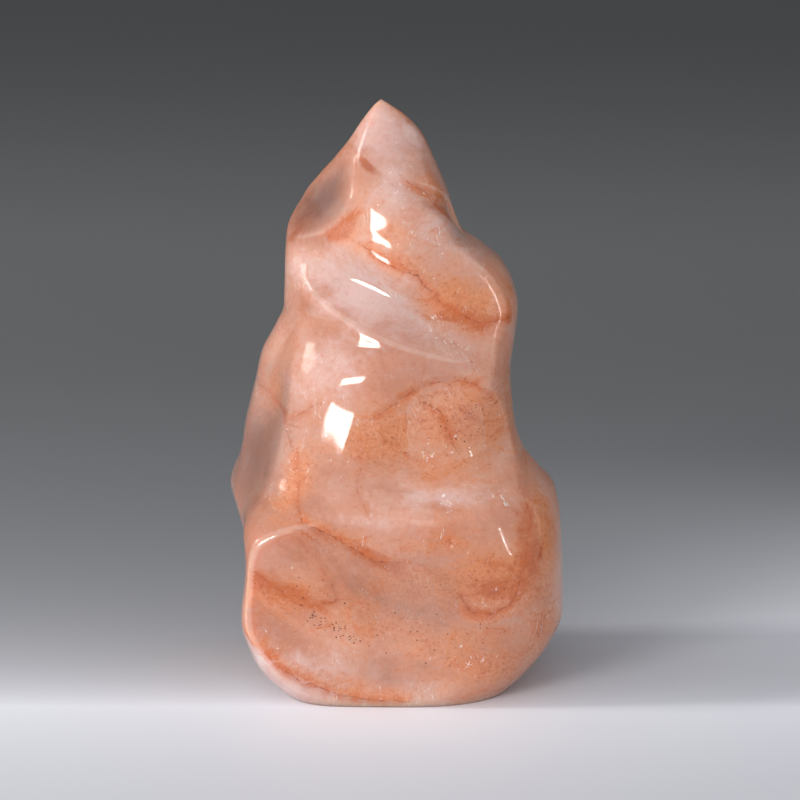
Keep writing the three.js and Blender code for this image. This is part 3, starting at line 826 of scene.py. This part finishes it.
def area_light(name, azimuth, elevation, distance, width, height, watts, mirrored=True):
    """A soft light that looks at the stone from an azimuth and elevation, sizes in millimetres.

    One that isn't mirrored lights the stone but makes no highlight on it.
    """
    light = bpy.data.lights.new(name, "AREA")
    light.shape = "RECTANGLE"
    light.size = width * MM
    light.size_y = height * MM
    light.energy = watts
    light.color = WARM_WHITE
    lamp = bpy.data.objects.new(name, light)
    bpy.context.scene.collection.objects.link(lamp)
    around, up = math.radians(azimuth), math.radians(elevation)
    outwards = Vector((math.sin(around) * math.cos(up), -math.cos(around) * math.cos(up), math.sin(up)))
    lamp.location = Vector((0, 0, LIGHT_AIM * MM)) + outwards * distance * MM
    lamp.rotation_euler = (-outwards).to_track_quat("-Z", "Y").to_euler()
    lamp.visible_glossy = mirrored


def make_lights():
    """A side light that casts the shadow, a soft box and a thin strip for highlights, and an even room."""
    area_light("side", azimuth=-86, elevation=30, distance=950, width=160, height=200, watts=4.0,
               mirrored=False)
    area_light("softbox", azimuth=-33, elevation=15, distance=900, width=300, height=170, watts=4.1)
    area_light("strip", azimuth=58, elevation=13, distance=700, width=4, height=160, watts=0.14)
    world = bpy.data.worlds.new("world")
    bpy.context.scene.world = world
    world.use_nodes = True
    background = world.node_tree.nodes["Background"]
    background.inputs["Color"].default_value = ROOM_WHITE
    background.inputs["Strength"].default_value = ROOM_STRENGTH


# The floor, in metres: where it starts, where it bends upwards and how widely, and how high it ends
FLOOR_WIDTH = 6.0
FLOOR_FRONT = -1.5
FLOOR_BEND = 0.35
FLOOR_BEND_RADIUS = 0.9
FLOOR_TOP = 3.0
FLOOR_BEND_STEPS = 24


def make_floor():
    """A pale floor, with painted shade that turns it darker with distance, that curves up into a grey
    backdrop.
    """
    profile = [(FLOOR_FRONT, 0.0), (FLOOR_BEND, 0.0)]
    for i in range(1, FLOOR_BEND_STEPS + 1):
        angle = math.radians(90 * i / FLOOR_BEND_STEPS)
        rise = FLOOR_BEND_RADIUS * (1 - math.cos(angle))
        profile.append((FLOOR_BEND + FLOOR_BEND_RADIUS * math.sin(angle), rise))
    profile.append((FLOOR_BEND + FLOOR_BEND_RADIUS, FLOOR_TOP))
    vertices = []
    for y, z in profile:
        vertices += [(-FLOOR_WIDTH / 2, y, z), (FLOOR_WIDTH / 2, y, z)]
    faces = [(2 * i, 2 * i + 1, 2 * i + 3, 2 * i + 2) for i in range(len(profile) - 1)]
    mesh = bpy.data.meshes.new("floor")
    mesh.from_pydata(vertices, [], faces)
    mesh.shade_smooth()
    floor = bpy.data.objects.new("floor", mesh)
    bpy.context.scene.collection.objects.link(floor)
    mesh.materials.append(floor_material())


# Painted shade: the floor is painted palest just in front of the stone's middle and darker towards a grey on
# each side, as light falls off, in metres
FLOOR_PALEST = 0.87
GREY_BEHIND = 0.13
GREY_IN_FRONT = 0.45
PALEST_DEPTH = -0.028
FADE_BEHIND = 0.06
FADE_IN_FRONT = 0.1
FADE_POWER = -1.5
# Painted shade: where the backdrop starts to be painted darker still, where that ends, and what is left of
# its shade there
DARKER_FROM = 0.5
DARKER_TO = 0.75
DARKER_SHARE = 0.45
# The painted pool of light: over which depths it begins and ends, and how it grows to the right, in metres
POOL_BEGINS = (-0.03, 0.05)
POOL_ENDS = (0.25, 0.06)
POOL_SIDEWAYS = (-0.02, 0.12)
# The floor's tint, a little bluer up close
FLOOR_RED = 0.965
FLOOR_GREEN = 0.98
FLOOR_BLUE_NEAR = 1.06
FLOOR_BLUE_FAR = 1.0
FLOOR_BLUE_DEPTH = 0.5
FLOOR_ROUGHNESS = 0.6


def floor_material():
    """A faintly cool grey with painted shade that fades it with depth, and a painted pool of light to the
    right, behind the shadow.
    """
    material = bpy.data.materials.new("floor")
    t = Tree(material)
    coordinates = t.node("ShaderNodeTexCoord")
    place = t.node("ShaderNodeSeparateXYZ", {"Vector": coordinates.outputs["Object"]})
    depth = place.outputs["Y"]
    # Painted shade: the floor darkens away from its palest depth on each side.
    beyond = t.add(depth, -PALEST_DEPTH)
    behind = t.times(t.math("MAXIMUM", beyond, 0.0), 1 / FADE_BEHIND)
    behind = t.math("POWER", t.add(behind, 1.0), FADE_POWER)
    in_front = t.times(t.math("MINIMUM", beyond, 0.0), -1 / FADE_IN_FRONT)
    in_front = t.math("POWER", t.add(in_front, 1.0), FADE_POWER)
    shade = t.add(t.times(behind, FLOOR_PALEST - GREY_BEHIND), GREY_BEHIND)
    shade = t.add(shade, t.times(t.add(in_front, -1.0), FLOOR_PALEST - GREY_IN_FRONT))
    # Painted shade: the backdrop turns darker still towards its top.
    shade = t.times(shade, t.ramp(depth, DARKER_FROM, DARKER_TO, 1.0, DARKER_SHARE))
    # A painted pool of light brightens the floor to the right, behind the shadow.
    painted_light_pool = t.times(t.ramp(depth, *POOL_BEGINS), t.ramp(depth, *POOL_ENDS))
    painted_light_pool = t.times(painted_light_pool, t.ramp(place.outputs["X"], *POOL_SIDEWAYS))
    shade = t.times(shade, t.add(painted_light_pool, 1.0))
    blue = t.ramp(depth, 0.0, FLOOR_BLUE_DEPTH, FLOOR_BLUE_NEAR, FLOOR_BLUE_FAR)
    red_green = {"Red": t.times(shade, FLOOR_RED), "Green": t.times(shade, FLOOR_GREEN)}
    grey = t.node("ShaderNodeCombineColor", {**red_green, "Blue": t.times(shade, blue)}).outputs["Color"]
    t.feed(t.shader.inputs["Base Color"], grey)
    t.shader.inputs["Roughness"].default_value = FLOOR_ROUGHNESS
    return material


stone, shift = make_stone()
stone.data.materials.append(stone_material())
make_camera(shift)
make_floor()
make_lights()
bpy.context.scene.view_settings.view_transform = "Standard"
